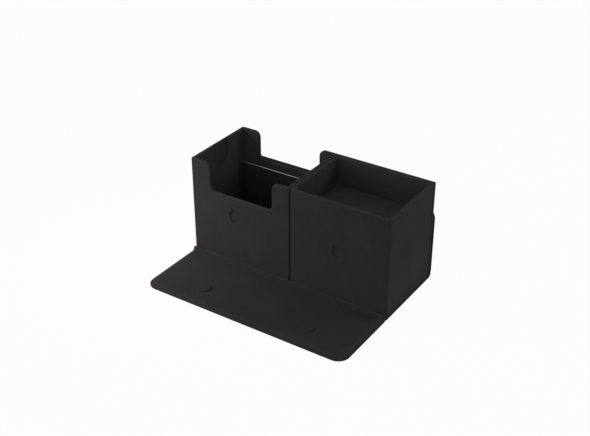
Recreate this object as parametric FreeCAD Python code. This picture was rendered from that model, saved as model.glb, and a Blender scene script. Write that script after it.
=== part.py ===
import FreeCAD, Part
import math
import os

from FreeCAD import Vector

# A two-part box for playing cards. The left half is an open card bay with a notch in its front and
# back walls; the right half is a drawer that slides out to the right and holds a lift-out tray. The
# box stands on a detachable cover: a base, a front flap that lies on the table and a back flap that
# stands up behind the box. Every wall is a wrapped board with an inner board or lining glued to it.
# Millimetres. X runs along the box, Y from front to back, Z up. The origin is on the underside of the
# cover's base, under the middle of the box.

# Box: outside sizes, boards and folded corners
box_length = 228.5
box_depth = 89.5
box_height = 107.0
board = 2.4                  # wrapped outer boards
liner = 1.2                  # inner boards of the front and back walls
side_liner = 1.6             # inner boards of the left wall and the partition
partition_board = 2.0
floor_board = 3.2
pad = 1.0                    # soft lining on the floors
corner_radius = 2.6          # folded vertical corners
edge_round = 0.8             # wrapped edges of the outer boards
liner_bevel = 0.35

# Card bay, its notches and the finger recess in the left wall
bay_length = 110.8
notch_tab_left = 23.5        # from the left end to the notch
notch_tab_right = 19.9       # from the notch to the bay's right end
notch_sill = 75.8            # from the foot of the box up to the notch
notch_radius = 6.5
finger_centre = 44.75        # from the front face back to the recess
finger_width = 23.8
finger_sill = 81.2
finger_lip = 1.5

# Clear pane that stands in two grooves and parts off the rear slot
pane_thickness = 1.2
pane_height = 69.8
pane_clearance = 0.15
pane_corner = 0.4
groove_depth = 1.0
rear_slot = 10.2             # from the pane's back face to the back wall

# Drawer and its lift-out tray
drawer_gap = 0.6             # seam between the card bay and the drawer
drawer_clearance = 0.3       # under and in front of the moving boards
drawer_back_clearance = 0.2
drawer_rear_radius = 1.0     # folded vertical corners next to the back wall
drawer_base = 2.4
neck = 1.6                   # inner boards that carry the tray
tray_depth = 30.4            # from the rim of the box to the tray's lining
tray_wall = 1.4
tray_base = 1.6
tray_lining = 0.8
tray_clearance = 0.25
tray_drop = 0.3              # the tray's rim under the rim of the drawer
tray_corner = 0.5
tray_bevel = 0.25

# Cover
cover_board = 1.6
cover_lining = 0.6
cover_overhang = 0.8         # past each end of the box
cover_bevel = 0.5            # wrapped edges of the cover's boards
turn_in = 3.2                # wrapped rim round the lining
fold_clearance = 0.6         # between a raised flap and the box
fold_height = 3.0            # height of the fold line, just over the cover's top
crease_radius = 3.6          # rolled ridge of the crease, about the fold line
crease_inset = 1.0           # from each end of the cover to the end of the ridge
heel_clearance = 0.25        # between a crease and its flap
front_flap_reach = 80.4      # from the fold line to the free edge
back_flap_reach = 76.4
front_flap_corner = 12.5
back_flap_corner = 12.5

# Disc magnets, the dents over them in the box and the low bumps over them in the flaps
magnet_radius = 6.0
magnet_thickness = 1.0
magnet_clearance = 0.1
magnet_height = 55.4         # above the foot of the box
magnet_left = 53.8           # from the left end to the magnet beside the notch
magnet_right = 53.8          # from the right end to the drawer's magnet
dent_radius = 7.6
dent_depth = 0.6
bump_radius = 7.2
bump_top_radius = 6.3
bump_height = 0.6

# Levels and places that follow from the sizes above
cover_thickness = cover_board + cover_lining
foot_z = cover_thickness
rim_z = foot_z + box_height
floor_z = foot_z + floor_board
pad_z = floor_z + pad
sill_z = foot_z + notch_sill
magnet_z = foot_z + magnet_height
half_cover = box_length / 2 + cover_overhang

left_x = -box_length / 2
right_x = box_length / 2
front_y = -box_depth / 2
back_y = box_depth / 2
bay_x0 = left_x + board + side_liner
bay_x1 = bay_x0 + bay_length
partition_x0 = bay_x1 + side_liner
partition_x1 = partition_x0 + partition_board
bay_y0 = front_y + board + liner
bay_y1 = back_y - board - liner
notch_x0 = left_x + notch_tab_left
notch_x1 = partition_x1 - notch_tab_right
pane_y1 = bay_y1 - rear_slot
pane_y0 = pane_y1 - pane_thickness
magnet_x = [left_x + magnet_left, right_x - magnet_right]

drawer_x0 = partition_x1 + drawer_gap
drawer_y1 = bay_y1 - drawer_back_clearance
drawer_z0 = floor_z + drawer_clearance
drawer_floor_z = drawer_z0 + drawer_base
tray_pad_z = rim_z - tray_depth
tray_floor_z = tray_pad_z - tray_lining
tray_z0 = tray_floor_z - tray_base

# A raised flap's inner face stands fold_clearance off the box, so the fold line lies as far behind
# that face as it lies over the cover's top.
fold_drop = cover_thickness - fold_height
fold_reach = fold_clearance + fold_drop
front_fold_y = front_y - fold_reach
back_fold_y = back_y + fold_reach
heel_radius = crease_radius + heel_clearance
magnet_pocket = magnet_thickness + magnet_clearance
spare = 5.0                  # how far a cutting tool runs past what it cuts


def block(x0, x1, y0, y1, z0, z1):
    return Part.makeBox(x1 - x0, y1 - y0, z1 - z0, Vector(x0, y0, z0))


def rounded_wire(corners, place):
    """Closed wire through (u, v, radius) corners, each rounded by its radius."""
    count = len(corners)
    spans = []
    for i, (u, v, radius) in enumerate(corners):
        here = Vector(u, v, 0)
        back = (Vector(*corners[i - 1][:2], 0) - here).normalize()
        ahead = (Vector(*corners[(i + 1) % count][:2], 0) - here).normalize()
        if radius == 0:
            spans.append((here, None, here))
            continue
        half = back.getAngle(ahead) / 2
        inward = (back + ahead).normalize()
        middle = here + inward * (radius / math.sin(half) - radius)
        reach = radius / math.tan(half)
        spans.append((here + back * reach, middle, here + ahead * reach))
    edges = []
    for i, (start, middle, end) in enumerate(spans):
        start, end = place(start.x, start.y), place(end.x, end.y)
        if middle is not None:
            edges.append(Part.Arc(start, place(middle.x, middle.y), end).toShape())
        following = spans[(i + 1) % count][0]
        following = place(following.x, following.y)
        if end.distanceToPoint(following) > 1e-6:
            edges.append(Part.LineSegment(end, following).toShape())
    return Part.Wire(edges)


def prism_up(corners, z0, z1):
    wire = rounded_wire(corners, lambda u, v: Vector(u, v, z0))
    return Part.Face(wire).extrude(Vector(0, 0, z1 - z0))


def prism_back(corners, y0, y1):
    wire = rounded_wire(corners, lambda u, v: Vector(u, y0, v))
    return Part.Face(wire).extrude(Vector(0, y1 - y0, 0))


def prism_right(corners, x0, x1):
    wire = rounded_wire(corners, lambda u, v: Vector(x0, u, v))
    return Part.Face(wire).extrude(Vector(x1 - x0, 0, 0))


def soften(shape, radius, chosen):
    """Rounds the edges whose bounding box passes the test."""
    return shape.makeFillet(radius, [edge for edge in shape.Edges if chosen(edge.BoundBox)])


def bevel(shape, size, chosen):
    return shape.makeChamfer(size, [edge for edge in shape.Edges if chosen(edge.BoundBox)])


def same(a, b):
    return abs(a - b) < 1e-4


def disc(x, y, z, radius, length, axis):
    return Part.makeCylinder(radius, length, Vector(x, y, z), axis)


def notched_elevation(x0, x1, z0, y0, y1):
    """A wall with the wide finger notch, rounded where its tabs end and where its sill begins."""
    corners = [
        (x0, z0, 0), (x1, z0, 0), (x1, rim_z, 0),
        (notch_x1, rim_z, notch_radius), (notch_x1, sill_z, notch_radius),
        (notch_x0, sill_z, notch_radius), (notch_x0, rim_z, notch_radius),
        (x0, rim_z, 0),
    ]
    return prism_back(corners, y0, y1)


def mitred_ring(x0, x1, y0, y1, thickness, z0, z1, corner, rear_corner, finish_rim, rim_size):
    """Four boards folded round a rectangle and mitred where they meet."""
    outer = prism_up([(x0, y0, corner), (x1, y0, corner), (x1, y1, rear_corner), (x0, y1, rear_corner)],
                     z0, z1)
    outer = finish_rim(outer, rim_size, lambda b: same(b.ZMin, z1) and same(b.ZMax, z1))
    t = thickness
    plans = {
        "front": [(x0, y0), (x1, y0), (x1 - t, y0 + t), (x0 + t, y0 + t)],
        "right": [(x1, y0), (x1, y1), (x1 - t, y1 - t), (x1 - t, y0 + t)],
        "back": [(x1, y1), (x0, y1), (x0 + t, y1 - t), (x1 - t, y1 - t)],
        "left": [(x0, y1), (x0, y0), (x0 + t, y0 + t), (x0 + t, y1 - t)],
    }
    return {side: outer.common(prism_up([(u, v, 0) for u, v in plan], z0, z1))
            for side, plan in plans.items()}


def magnet_recesses(wall, xs, outer_y, inward):
    """Blind pockets on the inner side of a wall and the shallow dents over them on the outer side."""
    for x in xs:
        axis = Vector(0, inward, 0)
        dent = disc(x, outer_y - inward * spare, magnet_z, dent_radius, spare + dent_depth, axis)
        pocket_y = outer_y + inward * (board - magnet_pocket)
        wall = wall.cut(dent).cut(disc(x, pocket_y, magnet_z, magnet_radius + magnet_clearance,
                                       magnet_pocket, axis))
    return wall


def wall_magnets(xs, outer_y, inward):
    start = outer_y + inward * (board - magnet_thickness)
    return Part.makeCompound([disc(x, start, magnet_z, magnet_radius, magnet_thickness,
                                   Vector(0, inward, 0)) for x in xs])


def card_bay():
    """The fixed half: outer boards, inner boards, partition and the floor that also runs under the drawer."""
    block_plan = [(left_x, front_y, corner_radius), (right_x + spare, front_y, 0),
                  (right_x + spare, back_y, 0), (left_x, back_y, corner_radius)]
    outside = prism_up(block_plan, foot_z, rim_z)

    front_plan = [(left_x, front_y, 0), (partition_x1, front_y, 0),
                  (partition_x1, front_y + board, 0), (left_x + board, front_y + board, 0)]
    front = notched_elevation(left_x - spare, partition_x1, foot_z, front_y, front_y + board)
    front = soften(front, edge_round, lambda b: same(b.YMin, front_y) and same(b.YMax, front_y))
    front = front.common(prism_up(front_plan, foot_z, rim_z)).common(outside)

    back_plan = [(left_x, back_y, 0), (right_x, back_y, 0),
                 (right_x, back_y - board, 0), (left_x + board, back_y - board, 0)]
    back = notched_elevation(left_x - spare, right_x, foot_z, back_y - board, back_y)
    back = soften(back, edge_round, lambda b: same(b.YMin, back_y) and same(b.YMax, back_y))
    back = back.common(prism_up(back_plan, foot_z, rim_z)).common(outside)

    left_plan = [(left_x, front_y, 0), (left_x, back_y, 0),
                 (left_x + board, back_y - board, 0), (left_x + board, front_y + board, 0)]
    left = block(left_x, left_x + board, front_y, back_y, foot_z, rim_z)
    left = soften(left, edge_round, lambda b: same(b.XMin, left_x) and same(b.XMax, left_x)
                  and same(b.ZMin, rim_z))
    left = left.common(prism_up(left_plan, foot_z, rim_z)).common(outside)

    floor_plan = [(left_x + board, front_y + board, 0), (partition_x1, front_y + board, 0),
                  (partition_x1, front_y + board + drawer_clearance, 0),
                  (right_x - board - drawer_clearance, front_y + board + drawer_clearance, 0),
                  (right_x - board - drawer_clearance, back_y - board, 0),
                  (left_x + board, back_y - board, 0)]
    catch_x = partition_x0 + magnet_pocket
    middle_y = (front_y + drawer_y1) / 2
    partition = block(partition_x0, partition_x1, front_y + board, bay_y1, floor_z, rim_z)
    partition = partition.cut(disc(partition_x0, middle_y, magnet_z, magnet_radius + magnet_clearance,
                                   catch_x - partition_x0, Vector(1, 0, 0)))
    return {
        "front_board": magnet_recesses(front, magnet_x[:1], front_y, 1),
        "back_board": magnet_recesses(back, magnet_x, back_y, -1),
        "left_board": left,
        "shell_floor": prism_up(floor_plan, foot_z, floor_z),
        "partition": partition,
        "bay_pad": block(bay_x0, bay_x1, bay_y0, bay_y1, floor_z, pad_z),
        "front_magnet": wall_magnets(magnet_x[:1], front_y, 1),
        "back_magnets": wall_magnets(magnet_x, back_y, -1),
        "partition_magnet": disc(partition_x0, middle_y, magnet_z, magnet_radius, magnet_thickness,
                                 Vector(1, 0, 0)),
    }


def pane_groove(liner_shape, face_x, inward):
    """A stopped vertical groove for the pane's edge, open at the top."""
    x0, x1 = sorted((face_x, face_x + inward * groove_depth))
    return liner_shape.cut(block(x0, x1, pane_y0 - pane_clearance, pane_y1 + pane_clearance,
                                 pad_z, rim_z + spare))


def card_bay_liners():
    front = notched_elevation(left_x + board, partition_x0, floor_z, front_y + board, bay_y0)
    front = bevel(front, liner_bevel, lambda b: same(b.YMin, bay_y0) and same(b.YMax, bay_y0)
                   and b.ZMax > sill_z - notch_radius)
    back = notched_elevation(left_x + board, right_x, floor_z, bay_y1, back_y - board)
    back = bevel(back, liner_bevel, lambda b: same(b.YMin, bay_y1) and same(b.YMax, bay_y1)
                  and b.ZMax > sill_z - notch_radius)

    finger_y = front_y + finger_centre
    finger_z = foot_z + finger_sill
    half = finger_width / 2
    left_corners = [
        (bay_y0, floor_z, 0), (bay_y1, floor_z, 0), (bay_y1, rim_z, 0),
        (finger_y + half, rim_z, finger_lip), (finger_y + half, finger_z, half),
        (finger_y - half, finger_z, half), (finger_y - half, rim_z, finger_lip),
        (bay_y0, rim_z, 0),
    ]
    left = prism_right(left_corners, left_x + board, bay_x0)
    left = bevel(left, liner_bevel, lambda b: same(b.XMin, bay_x0) and same(b.XMax, bay_x0)
                  and b.ZMax > finger_z and b.ZMin > floor_z)
    partition = block(bay_x1, partition_x0, bay_y0, bay_y1, floor_z, rim_z)
    return {
        "front_liner": front,
        "back_liner": back,
        "left_liner": pane_groove(left, bay_x0, -1),
        "partition_liner": pane_groove(partition, bay_x1, 1),
    }


def display_pane():
    reach = groove_depth - pane_clearance
    corners = [
        (bay_x0 - reach, pad_z, 0), (bay_x1 + reach, pad_z, 0),
        (bay_x1 + reach, pad_z + pane_height, pane_corner),
        (bay_x0 - reach, pad_z + pane_height, pane_corner),
    ]
    return {"display_pane": prism_back(corners, pane_y0, pane_y1)}


def drawer():
    """Four folded walls; the front and right ones hang down in front of the floor that carries the drawer."""
    walls = mitred_ring(drawer_x0, right_x, front_y, drawer_y1, board, foot_z + drawer_clearance,
                        rim_z, corner_radius, drawer_rear_radius, soften, edge_round)
    over_floor = block(drawer_x0 - spare, right_x - board, front_y + board, drawer_y1 + spare,
                       foot_z, drawer_z0)
    under_left = block(drawer_x0 - spare, drawer_x0 + board, front_y, drawer_y1, foot_z, drawer_z0)
    walls["left"] = walls["left"].cut(over_floor).cut(under_left)
    walls["back"] = walls["back"].cut(block(drawer_x0 - spare, right_x + spare, front_y + board,
                                            drawer_y1 + spare, foot_z, drawer_z0))
    inner_x0, inner_x1 = drawer_x0 + board, right_x - board
    inner_y0, inner_y1 = front_y + board, drawer_y1 - board
    middle_y = (front_y + drawer_y1) / 2
    walls["front"] = magnet_recesses(walls["front"], magnet_x[1:], front_y, 1)
    walls["left"] = walls["left"].cut(disc(inner_x0 - magnet_pocket, middle_y, magnet_z,
                                           magnet_radius + magnet_clearance, magnet_pocket,
                                           Vector(1, 0, 0)))
    pieces = {"drawer_" + side: wall for side, wall in walls.items()}
    pieces["drawer_floor"] = block(inner_x0, inner_x1, inner_y0, inner_y1, drawer_z0, drawer_floor_z)
    pieces["drawer_pad"] = block(inner_x0 + neck, inner_x1 - neck, inner_y0 + neck, inner_y1 - neck,
                                 drawer_floor_z, drawer_floor_z + pad)
    pieces["neck_front"] = block(inner_x0, inner_x1, inner_y0, inner_y0 + neck, drawer_floor_z, tray_z0)
    pieces["neck_back"] = block(inner_x0, inner_x1, inner_y1 - neck, inner_y1, drawer_floor_z, tray_z0)
    pieces["neck_left"] = block(inner_x0, inner_x0 + neck, inner_y0 + neck, inner_y1 - neck,
                                drawer_floor_z, tray_z0)
    pieces["neck_right"] = block(inner_x1 - neck, inner_x1, inner_y0 + neck, inner_y1 - neck,
                                 drawer_floor_z, tray_z0)
    pieces["drawer_front_magnet"] = wall_magnets(magnet_x[1:], front_y, 1)
    pieces["drawer_catch_magnet"] = disc(inner_x0 - magnet_thickness, middle_y, magnet_z, magnet_radius,
                                         magnet_thickness, Vector(1, 0, 0))
    return pieces


def tray():
    x0, x1 = drawer_x0 + board + tray_clearance, right_x - board - tray_clearance
    y0, y1 = front_y + board + tray_clearance, drawer_y1 - board - tray_clearance
    walls = mitred_ring(x0, x1, y0, y1, tray_wall, tray_floor_z, rim_z - tray_drop, tray_corner,
                        tray_corner, bevel, tray_bevel)
    pieces = {"tray_" + side: wall for side, wall in walls.items()}
    pieces["tray_floor"] = block(x0, x1, y0, y1, tray_z0, tray_floor_z)
    pieces["tray_pad"] = block(x0 + tray_wall, x1 - tray_wall, y0 + tray_wall, y1 - tray_wall,
                               tray_floor_z, tray_pad_z)
    return pieces


def flap(reach, corner, fold_y, side):
    """A flap lying flat. side is -1 to the front and 1 to the back; its fold line is along X at fold_y."""
    def plan(inset, start):
        far, near = fold_y + side * (reach - inset), fold_y + side * start
        x, r = half_cover - inset, corner - inset
        return [(-x, near, 0), (-x, far, r), (x, far, r), (x, near, 0)]

    fold = Part.makeCylinder(heel_radius, 2 * (half_cover + spare),
                             Vector(-half_cover - spare, fold_y, fold_height), Vector(1, 0, 0))
    heel = crease_radius / 2
    near_y = fold_y + side * heel
    core = prism_up(plan(0, heel), 0, cover_thickness)
    core = bevel(core, cover_bevel, lambda b: same(b.ZMin, b.ZMax)
                  and not (same(b.YMin, near_y) and same(b.YMax, near_y)))
    core = core.cut(prism_up(plan(turn_in, 0), cover_board, cover_thickness + spare)).cut(fold)
    lining = prism_up(plan(turn_in, heel), cover_board, cover_thickness).cut(fold)
    magnet_y = fold_y + side * (magnet_z - fold_height)
    magnets = []
    for x in magnet_x:
        bump = Part.makeCone(bump_radius, bump_top_radius, bump_height,
                             Vector(x, magnet_y, cover_thickness), Vector(0, 0, 1))
        lining = lining.fuse(bump)
        core = core.cut(disc(x, magnet_y, cover_board - magnet_pocket, magnet_radius + magnet_clearance,
                             magnet_pocket, Vector(0, 0, 1)))
        magnets.append(disc(x, magnet_y, cover_board - magnet_thickness, magnet_radius,
                            magnet_thickness, Vector(0, 0, 1)))
    return core, lining, Part.makeCompound(magnets)


def crease(fold_y, side, reach):
    """A soft strip rolled about the fold line, so that its flap swings clear; a groove parts it from the box."""
    length = half_cover - crease_inset
    wall_y, inner_y = side * box_depth / 2, side * (box_depth / 2 + fold_clearance)
    y0, y1 = sorted((wall_y, fold_y + side * reach))
    g0, g1 = sorted((wall_y, inner_y))
    roll = Part.makeCylinder(crease_radius, 2 * length, Vector(-length, fold_y, fold_height), Vector(1, 0, 0))
    roll = roll.common(block(-length, length, y0, y1, 0, fold_height + spare))
    return roll.cut(block(-length, length, g0, g1, cover_thickness, fold_height + spare))


def cover():
    base = block(-half_cover, half_cover, front_y, back_y, 0, cover_thickness)
    base = bevel(base, cover_bevel, lambda b: same(b.XMin, b.XMax) and same(b.ZMin, b.ZMax))
    lining_x = half_cover - turn_in
    lining = block(-lining_x, lining_x, front_y, back_y, cover_board, cover_thickness)
    pieces = {"cover_base": base.cut(lining), "base_lining": lining}
    pieces["front_crease"] = crease(front_fold_y, -1, crease_radius)
    pieces["back_crease"] = crease(back_fold_y, 1, fold_height)     # level with the raised flap's skin

    names = ("flap", "flap_lining", "flap_magnets")
    front = flap(front_flap_reach, front_flap_corner, front_fold_y, -1)
    pieces.update({"front_" + name: piece for name, piece in zip(names, front)})
    back = flap(back_flap_reach, back_flap_corner, back_fold_y, 1)
    for name, piece in zip(names, back):
        piece.rotate(Vector(0, back_fold_y, fold_height), Vector(1, 0, 0), 90)
        pieces["back_" + name] = piece
    return pieces


def main():
    os.makedirs("parts", exist_ok=True)
    for pieces in (cover(), card_bay(), card_bay_liners(), display_pane(), drawer(), tray()):
        for node, shape in pieces.items():
            shape.exportStep(os.path.join("parts", node + ".step"))


main()
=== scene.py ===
import math

import bmesh
import bpy
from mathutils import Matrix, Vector, noise
from mathutils.geometry import delaunay_2d_cdt


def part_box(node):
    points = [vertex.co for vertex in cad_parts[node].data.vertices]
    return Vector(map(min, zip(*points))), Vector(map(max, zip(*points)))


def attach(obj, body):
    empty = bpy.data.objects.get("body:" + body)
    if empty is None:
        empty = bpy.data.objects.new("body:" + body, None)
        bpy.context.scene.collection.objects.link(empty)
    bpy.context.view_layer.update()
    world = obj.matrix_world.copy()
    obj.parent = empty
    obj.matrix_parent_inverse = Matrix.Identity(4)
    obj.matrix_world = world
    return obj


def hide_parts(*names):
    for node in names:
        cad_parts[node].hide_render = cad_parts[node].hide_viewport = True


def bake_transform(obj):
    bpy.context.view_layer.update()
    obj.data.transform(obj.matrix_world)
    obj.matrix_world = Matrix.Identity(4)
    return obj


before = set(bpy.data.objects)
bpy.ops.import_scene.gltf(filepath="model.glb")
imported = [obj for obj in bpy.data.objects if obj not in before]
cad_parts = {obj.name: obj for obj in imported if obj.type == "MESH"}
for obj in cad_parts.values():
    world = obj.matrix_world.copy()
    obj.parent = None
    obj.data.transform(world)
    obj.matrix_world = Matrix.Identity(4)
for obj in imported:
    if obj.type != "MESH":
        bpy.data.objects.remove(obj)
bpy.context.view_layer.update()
metres = 0.001  # everything below is in millimetres until a mesh is made


def cadBox(node):
    low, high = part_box(node)
    return [value / metres for value in (*low, *high)]


# shader sums: one wrapped socket, and one way to add any node


class Channel:
    def __init__(self, finish, socket):
        self.finish = finish
        self.socket = socket

    def maths(self, operation, first, second):
        return self.finish.node("ShaderNodeMath", {"operation": operation}, {0: first, 1: second})

    def __add__(self, other):
        return self.maths("ADD", self, other)

    def __radd__(self, other):
        return self.maths("ADD", other, self)

    def __sub__(self, other):
        return self.maths("SUBTRACT", self, other)

    def __rsub__(self, other):
        return self.maths("SUBTRACT", other, self)

    def __mul__(self, other):
        return self.maths("MULTIPLY", self, other)

    def __rmul__(self, other):
        return self.maths("MULTIPLY", other, self)

    def between(self, low, high):
        return self.maths("MINIMUM", self.maths("MAXIMUM", self, low), high)


class Finish:
    # one material, or the world when it is given as the kind
    def __init__(self, name, kind=bpy.data.materials):
        self.material = kind.new(name)
        self.material.use_nodes = True
        self.tree = self.material.node_tree
        self.tree.nodes.clear()

    def node(self, kind, settings=None, sockets=None, output=0):
        made = self.tree.nodes.new(kind)
        for key, value in (settings or {}).items():
            setattr(made, key, value)
        for key, value in (sockets or {}).items():
            if isinstance(value, Channel):
                self.tree.links.new(value.socket, made.inputs[key])
            else:
                made.inputs[key].default_value = value
        return Channel(self, made.outputs[output]) if made.outputs else None

    def blendColours(self, share, first, second):
        return self.node("ShaderNodeMix", {"data_type": "RGBA"}, {0: share, 6: first, 7: second}, 2)

    def grain(self, place, size, detail=2.0, roughness=0.5):
        # size is the width of one grain in millimetres
        return self.node("ShaderNodeTexNoise", {}, {"Vector": place, "Scale": 1 / (size * metres),
                                                    "Detail": detail, "Roughness": roughness})

    def stretched(self, place, factors):
        return self.node("ShaderNodeVectorMath", {"operation": "MULTIPLY"}, {0: place, 1: factors})

    def bump(self, strength, distance, height):
        return self.node("ShaderNodeBump", {}, {"Strength": strength, "Distance": distance * metres,
                                                "Height": height})

    def place(self):
        return self.node("ShaderNodeTexCoord", {}, {}, 3)

    def attribute(self, name):
        return self.node("ShaderNodeAttribute", {"attribute_name": name}, {}, 2)

    def seenThrough(self):
        # 1 for camera, glossy and transmission rays, so that gloss and clear plastic meet the same white
        rays = [self.node("ShaderNodeLightPath", {}, {}, output) for output in (0, 3, 6)]
        return (rays[0] + rays[1] + rays[2]).between(0.0, 1.0)

    def surface(self, sockets):
        shader = self.node("ShaderNodeBsdfPrincipled", {}, sockets)
        self.node("ShaderNodeOutputMaterial", {}, {"Surface": shader})
        return self.material


def grey(level, warmth=0.0):
    return (level * (1 + warmth), level, level * (1 + warmth * 0.4), 1.0)


# finishes

# sizes of nap, pebbles and clouds are in millimetres; the rim tone is the colour of the rolled edges, partly
# wear and partly painted light: a painted highlight a little lighter than the body on the outer wrap and
# lining, painted shade darker than the body on the cover, and darker on the inside and floor boards
outerWrap = dict(dark=0.0265, light=0.038, rimWearAndLight=0.034, warmth=0.1, napSize=0.55, pebbleSize=1.7,
                 cloudSize=46.0, roughness=0.86, relief=0.1, specular=0.06, sheen=0.02)
coverWrap = dict(outerWrap, dark=0.029, light=0.0395, rimWearAndLight=0.026)
liningWrap = dict(outerWrap, dark=0.0235, light=0.0335, rimWearAndLight=0.03)
innerWrap = dict(dark=0.0328, light=0.0465, rimWearAndLight=0.025, warmth=0.04, napSize=0.4, pebbleSize=1.2,
                 cloudSize=34.0, roughness=0.92, relief=0.07, specular=0.05, sheen=0.02)
floorWrap = dict(dark=0.0345, light=0.05, rimWearAndLight=0.036, warmth=0.05, napSize=0.35, pebbleSize=2.6,
                 cloudSize=28.0, roughness=0.95, relief=0.07, specular=0.05, sheen=0.03)
# how much each grain adds to the tone, and how the rim mark (wear and painted light) and the nap change the
# surface
fibre = dict(cloudTone=0.9, napTone=0.9, pebbleTone=0.5, streakTone=0.5, streakLength=2.2,
             streakStretch=(1.0, 0.35, 0.3), wearAndLightBase=0.55, wearAndLightPebble=0.6, napRough=0.16, cloudRough=0.1,
             wornRough=0.08, leastRough=0.4, napHeight=0.6, pebbleHeight=0.4, bumpStrength=0.55,
             sheenRough=0.45)


def microfibre(name, look):
    finish = Finish(name)
    place = finish.place()
    nap = finish.grain(place, look["napSize"], 3.0, 0.6)
    pebble = finish.grain(place, look["pebbleSize"], 2.0, 0.55)
    cloud = finish.grain(place, look["cloudSize"], 2.0, 0.5)
    brushed = finish.stretched(place, fibre["streakStretch"])
    streak = finish.grain(brushed, look["pebbleSize"] * fibre["streakLength"], 3.0, 0.6)
    rimWearAndLight = finish.attribute("rimWearAndPaintedLight")
    tone = (0.5 + (cloud - 0.5) * fibre["cloudTone"] + (nap - 0.5) * fibre["napTone"]
            + (pebble - 0.5) * fibre["pebbleTone"]
            + (streak - 0.5) * fibre["streakTone"]).between(0.0, 1.0)
    body = finish.blendColours(tone, grey(look["dark"], look["warmth"]), grey(look["light"], look["warmth"]))
    # painted light on the rims: the rolled edges are mixed towards the rim tone, which stands partly for
    # wear and partly for painted light (a painted highlight on the outer wrap and lining, painted shade on
    # the cover)
    wearAndLightMix = (rimWearAndLight * (fibre["wearAndLightBase"] + pebble * fibre["wearAndLightPebble"])).between(0.0, 1.0)
    colour = finish.blendColours(wearAndLightMix, body, grey(look["rimWearAndLight"], look["warmth"]))
    rough = (look["roughness"] + (nap - 0.5) * fibre["napRough"] - (cloud - 0.5) * fibre["cloudRough"]
             - rimWearAndLight * fibre["wornRough"]).between(fibre["leastRough"], 1.0)
    relief = nap * fibre["napHeight"] + pebble * fibre["pebbleHeight"]
    bump = finish.bump(fibre["bumpStrength"], look["relief"], relief)
    return finish.surface({"Base Color": colour, "Roughness": rough, "Normal": bump,
                           "Specular IOR Level": look["specular"], "Sheen Weight": look["sheen"],
                           "Sheen Roughness": fibre["sheenRough"]})


# the edge colour and its alpha paint a bright highlight on the pane's top edge; the faces stay nearly clear
clearSheet = dict(face=(0.012, 0.013, 0.014, 1.0), edge=(0.42, 0.43, 0.44, 1.0), faceAlpha=0.1,
                  paintedHighlightAlpha=0.8, smudgeSize=18.0, smudgeAlpha=0.012, smudgeRough=0.06, scratchSize=0.5,
                  scratchStretch=(0.08, 1.0, 1.0), scratchRough=0.04, roughness=0.07, edgeRough=0.22,
                  leastRough=0.02, refraction=1.49)


def clearPlastic(name, look):
    finish = Finish(name)
    place = finish.place()
    smudge = finish.grain(place, look["smudgeSize"], 3.0, 0.6)
    scratch = finish.grain(finish.stretched(place, look["scratchStretch"]), look["scratchSize"], 1.0, 0.5)
    # painted highlight: the mark gives the top edge the bright edge colour and makes it more opaque
    edge = finish.attribute("rimWearAndPaintedLight")
    colour = finish.blendColours(edge, look["face"], look["edge"])
    alpha = (look["faceAlpha"] + smudge * look["smudgeAlpha"]
             + edge * (look["paintedHighlightAlpha"] - look["faceAlpha"])).between(0.0, 1.0)
    rough = (look["roughness"] + smudge * look["smudgeRough"] + edge * look["edgeRough"]
             + (scratch - 0.5) * look["scratchRough"]).between(look["leastRough"], 1.0)
    return finish.surface({"Base Color": colour, "Roughness": rough, "Alpha": alpha,
                           "IOR": look["refraction"]})


plating = dict(dark=(0.42, 0.42, 0.43, 1.0), light=(0.68, 0.68, 0.69, 1.0), grainSize=0.35,
               stainSize=5.0, grainTone=0.5, stainTone=0.6, roughness=0.26, grainRough=0.2,
               bumpStrength=0.3, relief=0.02)


def nickel(name, look):
    finish = Finish(name)
    place = finish.place()
    grain = finish.grain(place, look["grainSize"], 3.0, 0.6)
    stain = finish.grain(place, look["stainSize"], 2.0, 0.5)
    tone = (grain * look["grainTone"] + stain * look["stainTone"]).between(0.0, 1.0)
    colour = finish.blendColours(tone, look["dark"], look["light"])
    rough = look["roughness"] + grain * look["grainRough"]
    bump = finish.bump(look["bumpStrength"], look["relief"], grain)
    return finish.surface({"Base Color": colour, "Metallic": 1.0, "Roughness": rough, "Normal": bump})


finishes = {
    "outer_wrap": microfibre("microfibreOutside", outerWrap),
    "cover_wrap": microfibre("microfibreCover", coverWrap),
    "inner_wrap": microfibre("microfibreInside", innerWrap),
    "cover_lining": microfibre("microfibreCoverLining", liningWrap),
    "floor_lining": microfibre("microfibreFloors", floorWrap),
    "clear_plastic": clearPlastic("clearPlastic", clearSheet),
    "magnet": nickel("nickelPlating", plating),
}
print("finishes made:", len(finishes))


# board making: a flat outline with rounded corners, rolled edges and a finely divided face

# spacing of rows and points in millimetres, steps round a curve, and the least share of the rim mark, wear
# and painted light, on a rolled edge
making = dict(tiny=1e-6, hair=1e-9, thinnest=1e-3, rowShare=0.3, rowGap=0.1, cornerGap=0.15,
              leastRadius=0.03, pointsPerRadius=2.2, fewestPoints=4, mostPoints=16, rollSteps=4,
              wideRollSteps=8, foldSteps=6, leastWearAndLight=0.35, spotSteps=48, spotCore=0.55, spotRings=3,
              spotGap=1.0, waveSize=37, waveEdge=12, joined=0.0004, degenerate=0.0002, flatWeight=80)


def spread(low, high, spacing, fixed):
    # evenly spaced lines between low and high, with the fixed ones kept and close neighbours dropped
    count = max(1, round((high - low) / spacing))
    even = [low + (high - low) * i / count for i in range(1, count)]
    kept = [value for value in even if all(abs(value - f) > spacing * making["rowShare"] for f in fixed)]
    return sorted(kept + [f for f in fixed if low < f < high])


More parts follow.
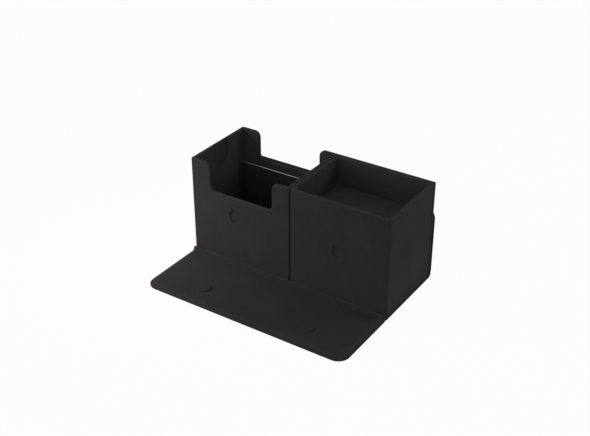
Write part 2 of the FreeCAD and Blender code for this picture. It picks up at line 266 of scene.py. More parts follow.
def roundedLoop(corners, softness, inset, uLines, vLines, reach):
    # corners (u, v, radius) run counter-clockwise; softness is the share of the inset that each side takes
    count = len(corners)
    spots = [Vector(corner[:2]) for corner in corners]
    along = [(spots[(i + 1) % count] - spots[i]).normalized() for i in range(count)]
    inward = [Vector((-step.y, step.x)) for step in along]

    def turn(i, move):
        before, after = along[i - 1], along[i]
        cross = before.x * after.y - before.y * after.x
        spot = spots[i] + inward[i - 1] * softness[i - 1] * move + inward[i] * softness[i] * move
        radius = corners[i][2]
        if radius == 0 or abs(cross) < making["tiny"]:
            return [spot]
        share = min(softness[i - 1], softness[i])
        side = 1 if cross > 0 else -1
        radius = max(radius - side * share * move, making["leastRadius"])
        start = spot - before * radius
        middle = start + inward[i - 1] * side * radius
        steps = round(corners[i][2] * making["pointsPerRadius"])
        steps = max(making["fewestPoints"], min(making["mostPoints"], steps))
        points = []
        for k in range(steps + 1):
            angle = math.radians(90) * k / steps
            points.append(middle - inward[i - 1] * side * radius * math.cos(angle)
                          + before * radius * math.sin(angle))
        return points

    loop, sides = [], []
    for i in range(count):
        points = turn(i, inset)
        loop += points
        sides += [None] * (len(points) - 1)
        plainStart, plainEnd = turn(i, 0.0)[-1], turn((i + 1) % count, 0.0)[0]
        flat = abs(along[i].y) < making["tiny"]
        following = (i + 1) % count
        # rows stay clear of the corners, by as far as the neighbouring side's roll reaches
        startGap = making["rowGap"] + (reach * softness[i - 1] if corners[i][2] == 0
                                       else making["cornerGap"])
        endGap = making["rowGap"] + (reach * softness[following] if corners[following][2] == 0
                                     else making["cornerGap"])
        lines = uLines if flat else vLines
        axis = 0 if flat else 1
        sign = 1 if along[i][axis] > 0 else -1
        low, high = plainStart[axis] * sign + startGap, plainEnd[axis] * sign - endGap
        between = sorted(value * sign for value in lines if low < value * sign < high)
        for value in between:
            loop.append(Vector((value * sign, points[-1].y)) if flat
                        else Vector((points[-1].x, value * sign)))
        sides += [i] * (len(between) + 1)
    return loop, sides


def isInside(point, loop):
    inside = False
    for a, b in zip(loop, loop[1:] + loop[:1]):
        if (a.y > point.y) != (b.y > point.y):
            if point.x < a.x + (point.y - a.y) * (b.x - a.x) / (b.y - a.y):
                inside = not inside
    return inside


def smooth(value):
    value = min(1.0, max(0.0, value))
    return value * value * (3 - 2 * value)


def pressedDepth(u, v, spots):
    # how far the face sinks at this point; a raised spot has a negative depth
    depth = 0.0
    for spot in spots:
        away = math.hypot(u - spot["u"], v - spot["v"])
        depth += spot["depth"] * (1 - smooth((away - spot["radius"]) / spot["shoulder"] + 0.5))
    return depth


def fillFace(loop, uLines, vLines, spots, waviness, seed, close):
    # fills an outline with triangles; the points inside it sink by the spots and by a slow wave
    points, depths, edges = list(loop), [0.0] * len(loop), []
    for spot in spots:
        half = spot["shoulder"] / 2
        count, steps = making["spotRings"], making["spotSteps"]
        rings = [spot["radius"] * making["spotCore"]]
        rings += [spot["radius"] + half * k / count for k in range(-count, count + 1)]
        for radius in rings:
            first = len(points)
            for k in range(steps):
                angle = 2 * math.pi * k / steps
                points.append(Vector((spot["u"] + radius * math.cos(angle),
                                      spot["v"] + radius * math.sin(angle))))
                edges.append((first + k, first + (k + 1) % steps))
        points.append(Vector((spot["u"], spot["v"])))
    for point in points[len(loop):]:
        depths.append(pressedDepth(point.x, point.y, spots))
    for u in uLines:
        for v in vLines:
            point = Vector((u, v))
            if any(math.hypot(u - spot["u"], v - spot["v"])
                   < spot["radius"] + spot["shoulder"] / 2 + making["spotGap"] for spot in spots):
                continue
            if not isInside(point, loop):
                continue
            gap = min((point - other).length for other in loop)
            if gap < close:
                continue
            points.append(point)
            size = making["waveSize"]
            wave = 0.5 + 0.5 * noise.noise(Vector((u / size + seed, v / size, seed)))
            depths.append(max(0.0, wave) * waviness * min(1.0, gap / making["waveEdge"]))
    made = delaunay_2d_cdt(points, edges, [list(range(len(loop)))], 1, making["tiny"])
    order = [(origin[0] if origin else None) for origin in made[3]]
    return made[0], made[2], order, depths


# share of the rim mark on a rolled edge; the mark is partly wear and partly painted light
def wearAndLightShare(share):
    return making["leastWearAndLight"] + (1 - making["leastWearAndLight"]) * share


def makeBoard(name, corners, thickness, place, outerRoll=0.7, innerRoll=0.3, spacing=6.0, softness=None,
              uFixed=(), vFixed=(), spots=(), innerSteps=(), waviness=0.05, seed=0.0, seam=(), guard=0.8,
              close=0.5, innerWide=None):
    # place turns (u, v, depth) into a point of the box; the outer face is at depth 0. Sides named in seam
    # stay open, because the board's two ends meet there. The inner edge's roll may be wider than it is deep
    softness = softness or [1.0] * len(corners)
    innerWide = innerWide or innerRoll
    us, vs = [corner[0] for corner in corners], [corner[1] for corner in corners]
    uLines = spread(min(us), max(us), spacing, sorted(uFixed))
    vLines = spread(min(vs), max(vs), spacing, sorted(vFixed))
    # each roll is one loop round the board: (inset, depth, share of the rim mark of wear and painted light)
    steps = making["rollSteps"]
    rolls = [(outerRoll + guard, 0.0, 0.0)]
    for k in range(steps + 1):
        angle = math.radians(90) * k / steps
        rolls.append((outerRoll * (1 - math.sin(angle)), outerRoll * (1 - math.cos(angle)),
                      wearAndLightShare(math.sin(angle))))
    steps = making["wideRollSteps"] if innerWide > innerRoll else steps
    for k in range(steps + 1):
        angle = math.radians(90) * k / steps
        depth = thickness - innerRoll * (1 - math.sin(angle))
        if depth > rolls[-1][1] + making["thinnest"] or k > 0:
            rolls.append((innerWide * (1 - math.cos(angle)), depth, wearAndLightShare(math.cos(angle))))
    rolls += [(inset, thickness - drop, 0.0) for inset, drop in innerSteps] or [
        (innerRoll + guard, thickness, 0.0)]
    reach = max(inset for inset, depth, wearAndLightMarks in rolls)
    loops = [roundedLoop(corners, softness, inset, uLines, vLines, reach) for inset, depth, wearAndLightMarks in rolls]
    sides = loops[0][1]
    vertices, wearAndLightMarks, faces = [], [], []
    for (loop, _), (inset, depth, rimWearAndLight) in zip(loops, rolls):
        for point in loop:
            vertices.append(place(point.x, point.y, depth))
            wearAndLightMarks.append(rimWearAndLight)
    size = len(sides)
    for layer in range(len(rolls) - 1):
        for k in range(size):
            if sides[k] in seam:
                continue
            a, b = layer * size + k, layer * size + (k + 1) % size
            faces.append((a, b, b + size, a + size))
    for layer, facing, faceSpots in ((0, 0.0, spots), (len(rolls) - 1, rolls[-1][1], ())):
        loop = loops[layer][0]
        points, triangles, order, depths = fillFace(loop, uLines, vLines, faceSpots, waviness, seed + layer,
                                                    close)
        toVertex = []
        for index, point in enumerate(points):
            origin = order[index]
            if origin is not None and origin < size:
                toVertex.append(layer * size + origin)
                continue
            sink = depths[origin] if origin is not None else 0.0
            vertices.append(place(point.x, point.y, facing + sink if layer == 0 else facing - sink))
            wearAndLightMarks.append(0.0)
            toVertex.append(len(vertices) - 1)
        for triangle in triangles:
            faces.append(tuple(toVertex[index] for index in triangle))
    return addMesh(name, vertices, faces, wearAndLightMarks)


def addMesh(name, vertices, faces, wearAndLightMarks):
    # the rim mark, partly wear and partly painted light, is kept on the points, where the finishes read it
    mesh = bpy.data.meshes.new(name)
    mesh.from_pydata([Vector(vertex) * metres for vertex in vertices], [], faces)
    attribute = mesh.attributes.new("rimWearAndPaintedLight", "FLOAT", "POINT")
    attribute.data.foreach_set("value", wearAndLightMarks)
    shape = bmesh.new()
    shape.from_mesh(mesh)
    bmesh.ops.remove_doubles(shape, verts=shape.verts, dist=making["joined"] * metres)
    bmesh.ops.dissolve_degenerate(shape, edges=shape.edges, dist=making["degenerate"] * metres)
    bmesh.ops.recalc_face_normals(shape, faces=shape.faces)
    for face in shape.faces:
        face.smooth = True
    shape.to_mesh(mesh)
    shape.free()
    piece = bpy.data.objects.new(name, mesh)
    bpy.context.scene.collection.objects.link(piece)
    piece.modifiers.new("evenShading", "WEIGHTED_NORMAL").weight = making["flatWeight"]
    return piece


def settle(piece, body, slot, *nodes):
    # gives a piece its finish, hides the nodes that it stands for and, when a body is given, ties it to the
    # body that it rides on
    piece.data.materials.clear()
    piece.data.materials.append(finishes[slot])
    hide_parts(*nodes)
    if body:
        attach(piece, body)


# folded boards: panels that turn round upright corners, laid out flat as (distance along, height)


class FoldedPlan:
    # outside and inside are the corners of the board's two faces, seen from above
    def __init__(self, outside, inside, radii):
        self.runs = []
        self.starts = []
        self.folds = []
        travelled = 0.0
        last = len(outside) - 2
        for i in range(last + 1):
            a, b = Vector(outside[i]), Vector(outside[i + 1])
            c, d = Vector(inside[i]), Vector(inside[i + 1])
            step = (b - a).normalized()
            trimStart, trimEnd = (radii[i - 1] if i > 0 else 0), (radii[i] if i < last else 0)
            if i > 0:
                radius = trimStart
                before = (a - Vector(outside[i - 1])).normalized()
                length = radius * math.pi / 2
                middle = a - before * radius + step * radius
                self.runs.append((travelled, travelled + length, "fold", (middle, before, step, c, radius)))
                steps = making["foldSteps"]
                self.folds += [travelled + length * k / steps for k in range(steps + 1)]
                travelled += length
            self.starts.append(travelled - trimStart)
            length = (b - a).length - trimStart - trimEnd
            self.runs.append((travelled, travelled + length, "panel",
                              (a + step * trimStart, b - step * trimEnd, c, d)))
            travelled += length
        self.length = travelled

    def along(self, panel, distance):
        return self.starts[panel] + distance

    def point(self, s, share):
        s = min(max(s, 0.0), self.length)
        for start, end, kind, data in self.runs:
            if s <= end + making["hair"]:
                part = (s - start) / (end - start)
                if kind == "panel":
                    outer, inner = data[0].lerp(data[1], part), data[2].lerp(data[3], part)
                else:
                    middle, before, step, inner, radius = data
                    angle = part * math.pi / 2
                    outer = middle - step * radius * math.cos(angle) + before * radius * math.sin(angle)
                return outer + (inner - outer) * share
        return Vector((0, 0))


def foldedPlace(plan, thickness):
    def place(s, z, depth):
        spot = plan.point(s, depth / thickness)
        return (spot.x, spot.y, z)
    return place


def ringPlan(x0, x1, y0, y1, thickness, frontRadius, rearRadius):
    # a closed ring that starts and ends in the middle of its left side
    middle = (y0 + y1) / 2
    outside = [(x0, middle), (x0, y0), (x1, y0), (x1, y1), (x0, y1), (x0, middle)]
    x0, x1, y0, y1 = x0 + thickness, x1 - thickness, y0 + thickness, y1 - thickness
    inside = [(x0, middle), (x0, y0), (x1, y0), (x1, y1), (x0, y1), (x0, middle)]
    return FoldedPlan(outside, inside, [frontRadius, frontRadius, rearRadius, rearRadius])


# card bay: one wrapped board folded round the front, the left end and the whole back

left, back, floorPlate = cadBox("left_board"), cadBox("back_board"), cadBox("shell_floor")
front, partition = cadBox("front_board"), cadBox("partition")
footZ, rimZ = left[2], left[5]
frontY, backY, leftX, rightX = front[1], back[4], left[0], back[3]
splitX = partition[3]

cardBay = dict(board=2.4, fold=2.6, roll=0.8, innerRoll=0.25, notchLeft=23.5, notchRight=19.9,
               notchSill=75.8, notchRound=6.5, tabRound=1.1, magnetLeft=53.8, magnetRight=53.8,
               magnetHeight=55.4)
dent = dict(radius=7.3, depth=1.2, shoulder=0.6)  # pressed in over a magnet

magnetX = [leftX + cardBay["magnetLeft"], rightX - cardBay["magnetRight"]]
magnetZ = footZ + cardBay["magnetHeight"]
notchX = [leftX + cardBay["notchLeft"], splitX - cardBay["notchRight"]]
sillZ = footZ + cardBay["notchSill"]
notchRound = cardBay["notchRound"]
board = cardBay["board"]

bayPlan = FoldedPlan([(splitX, frontY), (leftX, frontY), (leftX, backY), (rightX, backY)],
                     [(splitX, frontY + board), (leftX + board, frontY + board),
                      (leftX + board, backY - board), (rightX, backY - board)], [cardBay["fold"]] * 2)


def onFront(x):
    return bayPlan.along(0, splitX - x)


def onBack(x):
    return bayPlan.along(2, x - leftX)


bayOutline = [
    (0, footZ, 0), (bayPlan.length, footZ, 0), (bayPlan.length, rimZ, cardBay["tabRound"]),
    (onBack(notchX[1]), rimZ, notchRound), (onBack(notchX[1]), sillZ, notchRound),
    (onBack(notchX[0]), sillZ, notchRound), (onBack(notchX[0]), rimZ, notchRound),
    (onFront(notchX[0]), rimZ, notchRound), (onFront(notchX[0]), sillZ, notchRound),
    (onFront(notchX[1]), sillZ, notchRound), (onFront(notchX[1]), rimZ, notchRound),
    (0, rimZ, cardBay["tabRound"]),
]
cardBayWrap = makeBoard(
    "cardBayWrap", bayOutline, board, foldedPlace(bayPlan, board), cardBay["roll"], cardBay["innerRoll"],
    softness=[0.5] + [1.0] * 11, uFixed=bayPlan.folds,
    spots=[dict(dent, u=onFront(magnetX[0]), v=magnetZ), dict(dent, u=onBack(magnetX[0]), v=magnetZ),
           dict(dent, u=onBack(magnetX[1]), v=magnetZ)], seed=1.3)
settle(cardBayWrap, "card_box", "outer_wrap", "front_board", "left_board", "back_board")
print("card bay wrap made")


# card bay: inner boards

bayInside = dict(roll=0.4, backRoll=0.1, fingerCentre=44.75, fingerWidth=23.8, fingerSill=81.2,
                 fingerLip=1.5, fingerFlat=0.05, grooveDepth=1.0, grooveGap=0.15, grooveSlope=0.08,
                 grooveClose=0.35)
# how much each side of an upright board takes part in its rolls: foot and ends little, rim in full
notchedSoftness = [0.3, 0.2, 1, 1, 1, 1, 1, 0.2]
plainSoftness = [0.3, 0.2, 1, 0.2]


def plainOutline(low, high, z0):
    return [(low, z0, 0), (high, z0, 0), (high, rimZ, 0), (low, rimZ, 0)]


def notchedOutline(x0, x1, z0):
    return [(x0, z0, 0), (x1, z0, 0), (x1, rimZ, 0), (notchX[1], rimZ, notchRound),
            (notchX[1], sillZ, notchRound), (notchX[0], sillZ, notchRound), (notchX[0], rimZ, notchRound),
            (x0, rimZ, 0)]


x0, y0, z0, x1, y1, z1 = cadBox("front_liner")
frontBayBoard = makeBoard("frontBayBoard", notchedOutline(x0, x1, z0), y1 - y0,
                          lambda u, v, depth: (u, y1 - depth, v), bayInside["roll"], bayInside["backRoll"],
                          softness=notchedSoftness, seed=2.1)
settle(frontBayBoard, "card_box", "inner_wrap", "front_liner")

x0, y0, z0, x1, y1, z1 = cadBox("back_liner")
backBayBoard = makeBoard("backBayBoard", notchedOutline(x0, x1, z0), y1 - y0,
                         lambda u, v, depth: (u, y0 + depth, v), bayInside["roll"], bayInside["backRoll"],
                         softness=notchedSoftness, seed=3.7)
settle(backBayBoard, "card_box", "inner_wrap", "back_liner")

paneBox = cadBox("display_pane")
groove = (paneBox[1] - bayInside["grooveGap"], paneBox[4] + bayInside["grooveGap"])
slope = bayInside["grooveSlope"]
grooveLines = [groove[0] - slope, groove[0] + slope, groove[1] - slope, groove[1] + slope]


def grooved(u, depth):
    # the pane's groove: the face steps in by the groove's depth between its two sides
    fromStart = min(1.0, max(0.0, (u - grooveLines[0]) / (2 * slope)))
    fromEnd = min(1.0, max(0.0, (grooveLines[3] - u) / (2 * slope)))
    return max(depth, bayInside["grooveDepth"] * (fromStart * fromEnd))


leftLiner = cadBox("left_liner")
fingerY, fingerZ = frontY + bayInside["fingerCentre"], footZ + bayInside["fingerSill"]
fingerHalf, fingerLip = bayInside["fingerWidth"] / 2, bayInside["fingerLip"]
fingerRound = fingerHalf - bayInside["fingerFlat"]
leftBayBoard = makeBoard(
    "leftBayBoard",
    [(leftLiner[1], leftLiner[2], 0), (leftLiner[4], leftLiner[2], 0), (leftLiner[4], rimZ, 0),
     (fingerY + fingerHalf, rimZ, fingerLip), (fingerY + fingerHalf, fingerZ, fingerRound),
     (fingerY - fingerHalf, fingerZ, fingerRound), (fingerY - fingerHalf, rimZ, fingerLip),
     (leftLiner[1], rimZ, 0)],
    leftLiner[3] - leftLiner[0], lambda u, v, depth: (leftLiner[3] - grooved(u, depth), u, v),
    bayInside["roll"], bayInside["backRoll"], softness=notchedSoftness, uFixed=grooveLines, seed=4.9,
    close=bayInside["grooveClose"])
settle(leftBayBoard, "card_box", "inner_wrap", "left_liner")

facing = cadBox("partition_liner")
partitionFacing = makeBoard(
    "partitionFacing", plainOutline(facing[1], facing[4], facing[2]), facing[3] - facing[0],
    lambda u, v, depth: (facing[0] + grooved(u, depth), u, v), bayInside["roll"], bayInside["backRoll"],
    softness=plainSoftness, uFixed=grooveLines, seed=5.2, close=bayInside["grooveClose"])
settle(partitionFacing, "card_box", "inner_wrap", "partition_liner")

divider = dict(roll=0.6, backRoll=0.2)
partitionBoard = makeBoard(
    "partitionBoard", plainOutline(partition[1], partition[4], partition[2]), partition[3] - partition[0],
    lambda u, v, depth: (partition[3] - depth, u, v), divider["roll"], divider["backRoll"],
    softness=plainSoftness, seed=6.4)
settle(partitionBoard, "card_box", "inner_wrap", "partition")


undersideShare = 0.4  # of the roll at the top


def makeSlab(name, node, body, slot, roll, seed, corner=0.0, waviness=0.05):
    # a flat board or pad the size of its node; its wider roll is on the side that shows
    x0, y0, z0, x1, y1, z1 = cadBox(node)
    outline = [(x0, y0, corner), (x1, y0, corner), (x1, y1, corner), (x0, y1, corner)]
    slab = makeBoard(name, outline, z1 - z0, lambda u, v, depth: (u, v, z1 - depth),
                     roll, roll * undersideShare, seed=seed, waviness=waviness)
    settle(slab, body, slot, node)


makeSlab("bayFloorPad", "bay_pad", "card_box", "floor_lining", roll=0.35, seed=7.1, waviness=0.12)

x0, y0, z0, x1, y1, z1 = floorPlate
boxFloor = dict(frontGap=0.3, roll=0.5, backRoll=0.4, guard=0.6)
steppedY = y0 + boxFloor["frontGap"]  # the drawer's front board hangs down in front of it
boxFloorBoard = makeBoard(
    "boxFloorBoard",
    [(x0, y0, 0), (splitX, y0, 0), (splitX, steppedY, 0), (x1, steppedY, 0), (x1, y1, 0), (x0, y1, 0)],
    z1 - z0, lambda u, v, depth: (u, v, z0 + depth), boxFloor["roll"], boxFloor["backRoll"],
    softness=[1, 0.1, 1, 1, 1, 1], seed=8.3, guard=boxFloor["guard"])
settle(boxFloorBoard, "card_box", "inner_wrap", "shell_floor")
print("card bay inside made")


# clear pane

x0, y0, z0, x1, y1, z1 = paneBox
pane = dict(corner=0.5, roll=0.12, spacing=20.0, guard=0.1, topEdge=1.0, paintedShadeReach=26.0, paintedShadeEndShare=0.2)
corner = pane["corner"]
clearPane = makeBoard("clearPane", [(x0, z0, corner), (x1, z0, corner), (x1, z1, corner), (x0, z1, corner)],
                      y1 - y0, lambda u, v, depth: (u, y0 + depth, v), pane["roll"], pane["roll"],
                      spacing=pane["spacing"], waviness=0.0, guard=pane["guard"])
for vertex, paintedHighlight in zip(clearPane.data.vertices, clearPane.data.attributes["rimWearAndPaintedLight"].data):
    # painted highlight: only the top edge is painted bright, with painted shade fading it towards its left
    # end
    along = smooth((vertex.co.x / metres - x0) / pane["paintedShadeReach"])
    isTop = vertex.co.z / metres > z1 - pane["topEdge"]
    paintedHighlight.value *= (pane["paintedShadeEndShare"] + (1 - pane["paintedShadeEndShare"]) * along) if isTop else 0.0
settle(clearPane, "display_pane", "clear_plastic", "display_pane")


# drawer: a ring of four panels folded from one wrapped board; the front and right ones hang lower

drawerLook = dict(board=2.4, fold=2.6, rearFold=1.0, roll=0.8, innerRoll=0.4)
drawerFront = cadBox("drawer_front")
drawerInside = cadBox("drawer_floor")
drawerBoard = drawerLook["board"]
drawerX = (drawerInside[0] - drawerBoard, drawerInside[3] + drawerBoard)
drawerY = (drawerInside[1] - drawerBoard, drawerInside[4] + drawerBoard)
lowZ, highZ = drawerFront[2], drawerInside[2]
drawerPlan = ringPlan(*drawerX, *drawerY, drawerBoard, drawerLook["fold"], drawerLook["rearFold"])
drawerEnd = drawerPlan.length
# the foot steps down in the middle of the front left fold and up again in that of the back right one
frontDrop = drawerPlan.along(1, drawerLook["fold"]) - drawerLook["fold"] * math.pi / 4
backLift = drawerPlan.along(3, drawerLook["rearFold"]) - drawerLook["rearFold"] * math.pi / 4
drawerWrap = makeBoard(
    "drawerWrap",
    [(0, highZ, 0), (frontDrop, highZ, 0), (frontDrop, lowZ, 0), (backLift, lowZ, 0), (backLift, highZ, 0),
     (drawerEnd, highZ, 0), (drawerEnd, rimZ, 0), (0, rimZ, 0)],
    drawerBoard, foldedPlace(drawerPlan, drawerBoard), drawerLook["roll"], drawerLook["innerRoll"],
    softness=[0.4, 0.1, 0.4, 0.1, 0.4, 0, 1, 0], seam=(5, 7), uFixed=drawerPlan.folds,
    spots=[dict(dent, u=drawerPlan.along(1, magnetX[1] - drawerX[0]), v=magnetZ)], seed=9.6)
settle(drawerWrap, "drawer", "outer_wrap", "drawer_front", "drawer_right", "drawer_back", "drawer_left")

makeSlab("drawerFloorBoard", "drawer_floor", "drawer", "inner_wrap", roll=0.3, seed=10.2)
makeSlab("drawerFloorPad", "drawer_pad", "drawer", "floor_lining", roll=0.35, seed=11.8, waviness=0.1)


def makeRing(name, plan, low, high, thickness, roll, innerRoll, seed):
    # a low ring folded from one strip, whose ends meet in the middle of its left side
    outline = [(0, low, 0), (plan.length, low, 0), (plan.length, high, 0), (0, high, 0)]
    return makeBoard(name, outline, thickness, foldedPlace(plan, thickness), roll, innerRoll,
                     softness=[0.3, 0, 1, 0], seam=(1, 3), uFixed=plan.folds, seed=seed, guard=0.6)


neckFront, neckBack = cadBox("neck_front"), cadBox("neck_back")
neck = dict(board=neckFront[4] - neckFront[1], fold=0.4, roll=0.1, innerRoll=0.4)
neckPlan = ringPlan(neckFront[0], neckFront[3], neckFront[1], neckBack[4], neck["board"], neck["fold"],
                    neck["fold"])
trayRest = makeRing("trayRest", neckPlan, neckFront[2], neckFront[5], neck["board"], neck["roll"],
                    neck["innerRoll"], 12.5)
settle(trayRest, "drawer", "inner_wrap", "neck_front", "neck_right", "neck_back", "neck_left")
print("drawer made")


# lift-out tray

trayLook = dict(wall=1.4, fold=0.5, roll=0.3, innerRoll=0.45)
trayFloor, trayLeft = cadBox("tray_floor"), cadBox("tray_left")
trayPlan = ringPlan(trayFloor[0], trayFloor[3], trayFloor[1], trayFloor[4], trayLook["wall"],
                    trayLook["fold"], trayLook["fold"])
trayWrap = makeRing("trayWrap", trayPlan, trayLeft[2], trayLeft[5], trayLook["wall"], trayLook["roll"],
                    trayLook["innerRoll"], 13.4)
settle(trayWrap, "tray", "inner_wrap", "tray_front", "tray_right", "tray_back", "tray_left")
makeSlab("trayFloorBoard", "tray_floor", "tray", "inner_wrap", roll=0.4, seed=14.9, corner=trayLook["fold"])
makeSlab("trayFloorPad", "tray_pad", "tray", "floor_lining", roll=0.3, seed=15.2, waviness=0.1)
print("tray made")


# cover: a base and two flaps, each flap with its soft crease

baseBox, frontFlapBox, backFlapBox = cadBox("cover_base"), cadBox("front_flap"), cadBox("back_flap")
# the ridge is the rolled strip at each fold; what ends in Over is the length over which something grows
coverLook = dict(roll=0.7, turnIn=3.2, liningGap=0.07, liningDrop=0.35, liningRoll=0.12, backRoll=0.1,
                 foldIn=0.2, foldHeight=3.0, frontCorner=12.5, backCorner=12.5, ridgeWide=2.3,
                 ridgeHigh=3.6, ridgeWall=0.6, ridgeWallIn=0.24, ridgeWallOver=0.3, ridgeFoot=2.0,
                 ridgeFootOver=0.42, ridgeInset=0.4, insetOver=0.5, insetBackOver=0.9, liftOver=1.4,
                 turnOver=2.1)
flapLook = dict(padding=0.4, padStart=3.5, padOver=4.0, turnIn=6.6, edgeWide=4.4, edgeHigh=1.3,
                edgeStart=2.3, edgeOver=2.0)
bump = dict(radius=6.7, depth=-1.15, shoulder=0.6)  # raised over a magnet, to fit in a dent
coverThick = baseBox[5]
flapThick = coverThick + flapLook["padding"]
halfWidth = baseBox[3]
# rows beside the fold line, closest where the ridge rises and ends
foldRows = [0.12, 0.25, 0.36, 0.44, 0.52, 0.6, 0.7, 0.85, 1.0, 1.15, 1.3, 1.45, 1.58]
foldRows += [1.7 + 0.08 * k for k in range(10)] + [2.6, 2.8, 3.0, 3.15]
foldRows += [3.3 + 0.07 * k for k in range(9)] + [4.0, 4.3, 4.8]


def narrowed(u, v):
    # the soft strip is a little narrower than the boards on either side of it
    look = coverLook
    share = smooth(v / look["insetOver"]) * (1 - smooth((v - look["ridgeFoot"]) / look["insetBackOver"]))
    return u * (1 - share * look["ridgeInset"] / halfWidth)


def padTop(v):
    # the padding starts a little way out from the box
    return coverThick + flapLook["padding"] * smooth((v - flapLook["padStart"]) / flapLook["padOver"])


def squared(u, v, z):
    # the rounded edge gives way to a full one beside the box, so that the rolled strip keeps its ends
    look, inset = flapLook, halfWidth - abs(u)
    z *= padTop(v) / flapThick
    if inset >= look["edgeWide"]:
        return z
    across = 1 - max(0.0, inset) / look["edgeWide"]
    top = flapThick - look["edgeHigh"] * (1 - math.sqrt(1 - across ** 2))
    return z * (1 + (flapThick / top - 1) * (1 - smooth((v - look["edgeStart"]) / look["edgeOver"])))


def ridgeTop(v):
    # height of the rolled strip between the box and a flap that lies flat
    look = coverLook
    across = min((v + look["foldIn"]) / look["ridgeWide"], 1.0)
    roll = look["foldHeight"] + look["ridgeHigh"] * math.sqrt(1 - across ** 2)
    wall = smooth((v - look["ridgeWall"] + look["ridgeWallIn"]) / look["ridgeWallOver"])
    fade = 1 - smooth((v - look["ridgeFoot"]) / look["ridgeFootOver"])
    return padTop(v) + max(0.0, roll - padTop(v)) * wall * fade


def laidFlat(u, v, z):
    z, lift = squared(u, v, z), ridgeTop(v) - padTop(v)
    return (narrowed(u, v), -backY - v, z + lift * min(1.0, z / coverLook["liftOver"]))


def stoodUp(u, v, z):
    # the back flap is raised: its strip turns a quarter about the fold line
    look = coverLook
    away, height = v + look["foldIn"], squared(u, v, z) - look["foldHeight"]
    angle = math.radians(90) * smooth(v / look["turnOver"])
    across = away * math.cos(angle) - height * math.sin(angle)
    return (narrowed(u, v), backY - look["foldIn"] + min(across, look["foldHeight"]),
            max(0.0, look["foldHeight"] + away * math.sin(angle) + height * math.cos(angle)))


bumpReach = magnetZ - coverLook["foldHeight"] - coverLook["foldIn"]
bumps = [dict(bump, u=magnetX[0], v=bumpReach), dict(bump, u=magnetX[1], v=bumpReach)]


def makeFlap(name, reach, corner, place, nodes, liningNode, seed):
    # the flap and its lining, shaped by place across the fold; neither is tied to a body
    look, turnIn = coverLook, flapLook["turnIn"]
    x = halfWidth
    outline = [(-x, 0, 0), (x, 0, 0), (x, reach, corner), (-x, reach, corner)]
    covered = makeBoard(
        name, outline, flapThick, place, look["roll"], flapLook["edgeHigh"], innerWide=flapLook["edgeWide"],
        softness=[0, 1, 1, 1], vFixed=foldRows, seed=seed,
        innerSteps=[(turnIn - look["liningGap"], 0.0), (turnIn, look["liningDrop"])])
    edge = turnIn + look["liningGap"]
    x -= edge
    outline = [(-x, 0, 0), (x, 0, 0), (x, reach - edge, corner - edge), (-x, reach - edge, corner - edge)]
    lining = makeBoard(
        name + "Lining", outline, look["liningDrop"], lambda u, v, depth: place(u, v, flapThick - depth),
        look["liningRoll"], look["backRoll"], softness=[0, 1, 1, 1], vFixed=foldRows,
        spots=bumps, seed=seed + 0.5)
    settle(covered, None, "cover_wrap", *nodes)
    settle(lining, None, "cover_lining", liningNode)
    for piece in (covered, lining):
        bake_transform(piece)


foldY = backY - coverLook["foldIn"]
# where each bend starts and ends, as (y, z)
frontTurn = [(-backY - 1.17, -0.75), (-backY - 1.59, -1.02)]
backTurn = [(foldY - 0.85, 2.15), (foldY + 2.05, 5.05)]
makeFlap("frontFlap", -frontFlapBox[1] - backY, coverLook["frontCorner"], laidFlat,
         ("front_flap", "front_crease"), "front_flap_lining", seed=16.1)
makeFlap("backFlap", backFlapBox[5] - coverLook["foldHeight"] - coverLook["foldIn"], coverLook["backCorner"],
         stoodUp, ("back_flap", "back_crease"), "back_flap_lining", seed=17.6)


def makeBasePiece(name, halfX, thickness, top, rolls, seed, innerSteps=()):
    # depth runs up from the underside, or down from the top when one is given
    return makeBoard(
        name, [(-halfX, -backY, 0), (halfX, -backY, 0), (halfX, backY, 0), (-halfX, backY, 0)], thickness,
        lambda u, v, depth: (u, v, top - depth if top else depth), *rolls, softness=[0, 1, 0, 1],
        seed=seed, innerSteps=innerSteps)


turnIn, liningGap, liningDrop = coverLook["turnIn"], coverLook["liningGap"], coverLook["liningDrop"]
coverBase = makeBasePiece("coverBase", halfWidth, coverThick, None, (coverLook["roll"], coverLook["roll"]),
                          18.9, [(turnIn - liningGap, 0.0), (turnIn, liningDrop)])
settle(coverBase, "cover", "cover_wrap", "cover_base")
coverBaseLining = makeBasePiece("coverBaseLining", halfWidth - turnIn - liningGap, liningDrop, coverThick,
                                (coverLook["liningRoll"], coverLook["backRoll"]), 19.4)
settle(coverBaseLining, "cover", "cover_lining", "base_lining")
print("cover made")


# disc magnets keep their own shape

for node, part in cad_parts.items():
    if "magnet" in node:
        part.data.materials.clear()
        part.data.materials.append(finishes["magnet"])


# studio: pale floor, soft lamps and the camera

# whiteShare is how white the floor looks, floorShade how much light it throws back
studio = dict(floorSize=14.0, floorDrop=0.0004, floorShade=0.5, floorShadeLow=0.985, floorTone=900.0,
              floorRough=0.95, whiteShare=0.97, worldLight=0.42)


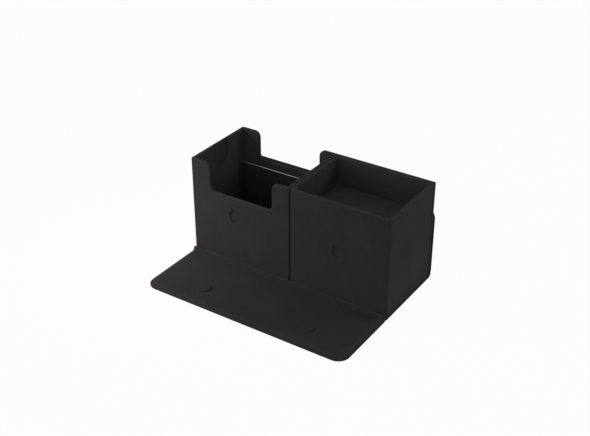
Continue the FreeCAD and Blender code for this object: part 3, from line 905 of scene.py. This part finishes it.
def makeFloor():
    finish = Finish("paleFloor")
    place = finish.place()
    tone = finish.grain(place, studio["floorTone"], 2.0, 0.5)
    shade = studio["floorShade"]
    colour = finish.blendColours(tone, grey(shade), grey(shade * studio["floorShadeLow"]))
    matt = finish.node("ShaderNodeBsdfPrincipled", {}, {"Base Color": colour, "Specular IOR Level": 0.0,
                                                        "Roughness": studio["floorRough"]})
    white = finish.node("ShaderNodeEmission", {}, {"Color": (1, 1, 1, 1), "Strength": 1.0})
    seen = finish.seenThrough() * studio["whiteShare"]
    mixed = finish.node("ShaderNodeMixShader", {}, {0: seen, 1: matt, 2: white})
    finish.node("ShaderNodeOutputMaterial", {}, {"Surface": mixed})
    half = studio["floorSize"] / 2
    mesh = bpy.data.meshes.new("studioFloor")
    corners = [(-half, -half, 0), (half, -half, 0), (half, half, 0), (-half, half, 0)]
    mesh.from_pydata(corners, [], [(0, 1, 2, 3)])
    mesh.materials.append(finish.material)
    floor = bpy.data.objects.new("studioFloor", mesh)
    floor.location.z = -studio["floorDrop"]
    bpy.context.scene.collection.objects.link(floor)


def makeWorld():
    room = Finish("studioRoom", bpy.data.worlds)
    soft = room.node("ShaderNodeBackground", {}, {"Color": (1, 1, 1, 1), "Strength": studio["worldLight"]})
    white = room.node("ShaderNodeBackground", {}, {"Color": (1, 1, 1, 1), "Strength": 1.0})
    mixed = room.node("ShaderNodeMixShader", {}, {0: room.seenThrough(), 1: soft, 2: white})
    room.node("ShaderNodeOutputWorld", {}, {"Surface": mixed})
    bpy.context.scene.world = room.material


lamps = [
    dict(name="keyLeft", place=(-0.3, -0.22, 0.26), aim=(-0.13, -0.08, 0.04), size=0.08, watts=0.074,
         spread=70),
    dict(name="lowLeft", place=(-0.34, -0.2, 0.16), aim=(-0.13, -0.06, 0.06), size=0.08, watts=0.07,
         spread=70),
    dict(name="softFront", place=(0.2, -0.9, 0.4), aim=(0.0, 0.0, 0.06), size=0.4, watts=0.8, spread=180),
    dict(name="softTop", place=(0.2, -0.7, 0.9), aim=(0.0, 0.0, 0.06), size=0.4, watts=0.62, spread=180),
    dict(name="softRight", place=(0.7, 0.5, 0.5), aim=(0.1, 0.0, 0.06), size=0.3, watts=1.1, spread=180),
]


def stand(item, look):
    # puts a lamp or the camera in its place, turned to what it is aimed at
    item.location = look["place"]
    turn = (Vector(look["aim"]) - Vector(look["place"])).to_track_quat("-Z", "Y")
    item.rotation_euler = turn.to_euler()
    bpy.context.scene.collection.objects.link(item)


def makeLamp(look):
    data = bpy.data.lights.new(look["name"], "AREA")
    data.shape = "SQUARE"
    data.size = look["size"]
    data.energy = look["watts"]
    data.spread = math.radians(look["spread"])
    stand(bpy.data.objects.new(look["name"], data), look)


view = dict(place=(0.47734, -0.75048, 0.5712), aim=(-0.01207, -0.00943, 0.05501), lens=62.378,
            filmWidth=36.0, nearest=0.02)


def makeCamera():
    data = bpy.data.cameras.new("studioCamera")
    data.sensor_width = view["filmWidth"]
    data.lens = view["lens"]
    data.clip_start = view["nearest"]
    camera = bpy.data.objects.new("studioCamera", data)
    stand(camera, view)
    bpy.context.scene.camera = camera


makeFloor()
makeWorld()
for lamp in lamps:
    makeLamp(lamp)
makeCamera()
bpy.context.scene.view_settings.view_transform = "Standard"
print("studio made")
